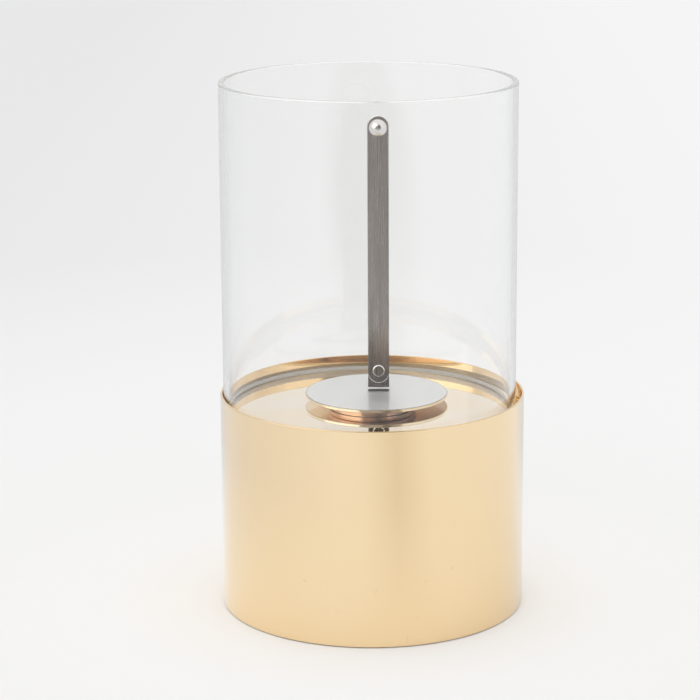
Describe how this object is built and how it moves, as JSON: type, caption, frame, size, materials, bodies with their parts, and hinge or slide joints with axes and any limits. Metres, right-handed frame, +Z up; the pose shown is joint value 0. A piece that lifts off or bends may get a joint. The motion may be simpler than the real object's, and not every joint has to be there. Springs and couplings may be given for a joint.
{
  "type": "storm lantern",
  "caption": "Table storm lantern: polished brass base with a sunk deck and lift-out burner, a loose clear glass cylinder, and a steel snuffer lid lifted by a hinged bar.",
  "frame": {"origin": "on the table, under the centre of the brass sleeve", "axes": "+Z up along the sleeve, -Y to the front that the knob faces, +X to the right seen from the front"},
  "size_m": [0.14, 0.14, 0.244],
  "materials": {
    "polished_brass": "polished and lacquered, faint vertical drawing lines",
    "mirror_brass": "mirror polished, pale",
    "plain_steel": "drawn sheet, dull",
    "brushed_steel": "brushed along its length",
    "polished_steel": "polished",
    "clear_glass": "clear, fire-polished rims",
    "mineral_wool": "white fibre, matt",
    "felt": "grey felt"
  },
  "bodies": {
    "base": {"base_sleeve": "polished_brass", "deck_plate": "mirror_brass", "bottom_plate": "plain_steel", "foot_pads": "felt"},
    "glass": {"glass_chimney": "clear_glass"},
    "burner": {"burner_neck": "polished_brass", "burner_can": "plain_steel", "fuel_wool": "mineral_wool", "wool_screen": "plain_steel", "screen_ring": "plain_steel"},
    "lid": {"lid_disc": "polished_steel", "hinge_bracket": "brushed_steel", "bracket_rivets": "polished_steel", "hinge_rivet": "polished_steel", "hinge_washers": "polished_steel"},
    "handle": {"handle_bar": "brushed_steel", "grip_knob": "polished_steel", "knob_screw": "polished_steel", "knob_washer": "polished_steel"}
  },
  "joints": [
    {"name": "glass_lift", "type": "slide", "parent": "base", "child": "glass", "axis": [0, 0, 1], "range_m": [0, 0.15]},
    {"name": "burner_lift", "type": "slide", "parent": "base", "child": "burner", "axis": [0, 0, 1], "range_m": [0, 0.23]},
    {"name": "lid_lift", "type": "slide", "parent": "burner", "child": "lid", "axis": [0, 0, 1], "range_m": [0, 0.165]},
    {"name": "handle_hinge", "type": "hinge", "parent": "lid", "child": "handle", "pos_m": [0.0031, 0.0099, 0.1077], "axis": [0, 1, 0], "range_deg": [-32, 27]}
  ]
}
